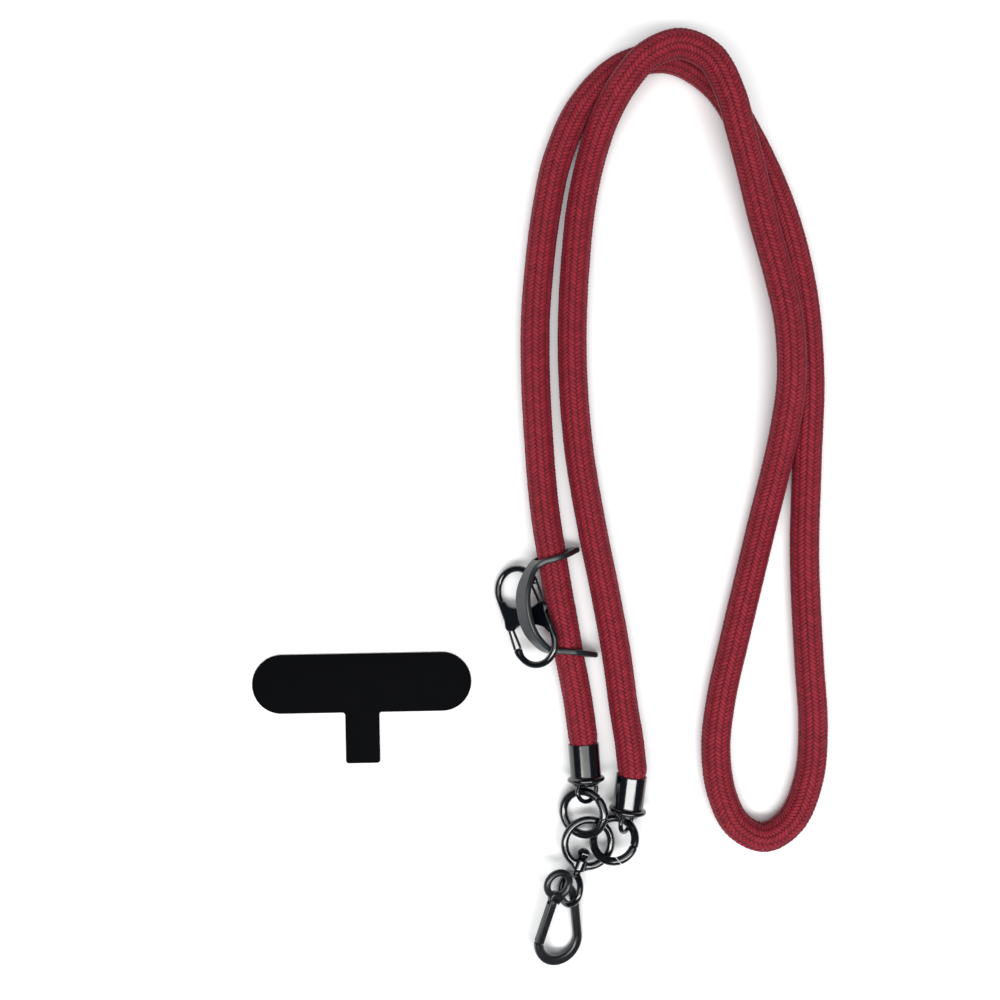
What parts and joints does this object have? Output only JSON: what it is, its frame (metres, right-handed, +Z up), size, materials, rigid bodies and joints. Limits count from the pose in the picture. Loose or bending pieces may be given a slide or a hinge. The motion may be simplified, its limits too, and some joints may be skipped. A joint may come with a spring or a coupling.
{
  "type": "phone crossbody strap",
  "caption": "Round braided phone strap laid in a folded loop, with capped ends on linked rings, a swivel snap hook, a slider with a double clip, and a T-shaped case tab.",
  "frame": {"origin": "centre of the hardware's and the tab's footprint on the table, measured without the rope", "axes": "+Z up from the table; +Y along the strap, away from the snap hook; +X to the right as seen from above with the hook towards the viewer"},
  "size_m": [0.2036, 0.325, 0.0201],
  "materials": {
    "red_braid": "woven polyester",
    "black_gloss_plating": "gloss black plating",
    "black_satin_plating": "satin black plating",
    "black_matt_coating": "matt black coating",
    "tab_sheet": "matt sheet"
  },
  "bodies": {
    "strap": {"rope": "red_braid", "end_cap_left": "black_gloss_plating", "end_cap_right": "black_gloss_plating", "gate_ring_left": "black_gloss_plating", "gate_ring_right": "black_gloss_plating", "swivel_ring": "black_gloss_plating", "adjuster": "black_satin_plating", "double_clip": "black_gloss_plating", "phone_tab": "tab_sheet"},
    "swivel_hook": {"swivel_eye": "black_gloss_plating", "hook_body": "black_matt_coating", "hook_rivet": "black_matt_coating"},
    "hook_gate": {"hook_gate": "black_matt_coating"},
    "ring_gate_left": {"ring_gate_left": "black_gloss_plating"},
    "ring_gate_right": {"ring_gate_right": "black_gloss_plating"},
    "clip_gate_upper": {"clip_gate_upper": "black_gloss_plating"},
    "clip_gate_lower": {"clip_gate_lower": "black_gloss_plating"}
  },
  "joints": [
    {"name": "swivel_turn", "type": "hinge", "parent": "strap", "child": "swivel_hook", "pos_m": [0.04936, -0.03057, 0.00568], "axis": [-0.3584, -0.9336, 0.0057], "continuous": true},
    {"name": "hook_gate_turn", "type": "hinge", "parent": "swivel_hook", "child": "hook_gate", "pos_m": [0.0367, -0.05022, 0.00877], "axis": [0.3808, -0.1813, 0.9067], "range_deg": [0, 24], "stiffness_Nm_per_rad": 0.01},
    {"name": "ring_gate_left_turn", "type": "hinge", "parent": "strap", "child": "ring_gate_left", "pos_m": [0.05309, -0.01502, 0.00835], "axis": [0.4088, 0.0119, -0.9125], "range_deg": [0, 24], "stiffness_Nm_per_rad": 0.01},
    {"name": "ring_gate_right_turn", "type": "hinge", "parent": "strap", "child": "ring_gate_right", "pos_m": [0.06465, -0.03125, 0.01011], "axis": [0.3468, -0.4626, -0.8159], "range_deg": [0, 24], "stiffness_Nm_per_rad": 0.01},
    {"name": "clip_gate_upper_turn", "type": "hinge", "parent": "strap", "child": "clip_gate_upper", "pos_m": [0.03325, 0.05336, 0.01229], "axis": [-0.5238, 0.1098, 0.8448], "range_deg": [0, 20], "stiffness_Nm_per_rad": 0.01},
    {"name": "clip_gate_lower_turn", "type": "hinge", "parent": "strap", "child": "clip_gate_lower", "pos_m": [0.02172, 0.04597, 0.00611], "axis": [-0.5238, 0.1098, 0.8448], "range_deg": [0, 20], "stiffness_Nm_per_rad": 0.01}
  ]
}
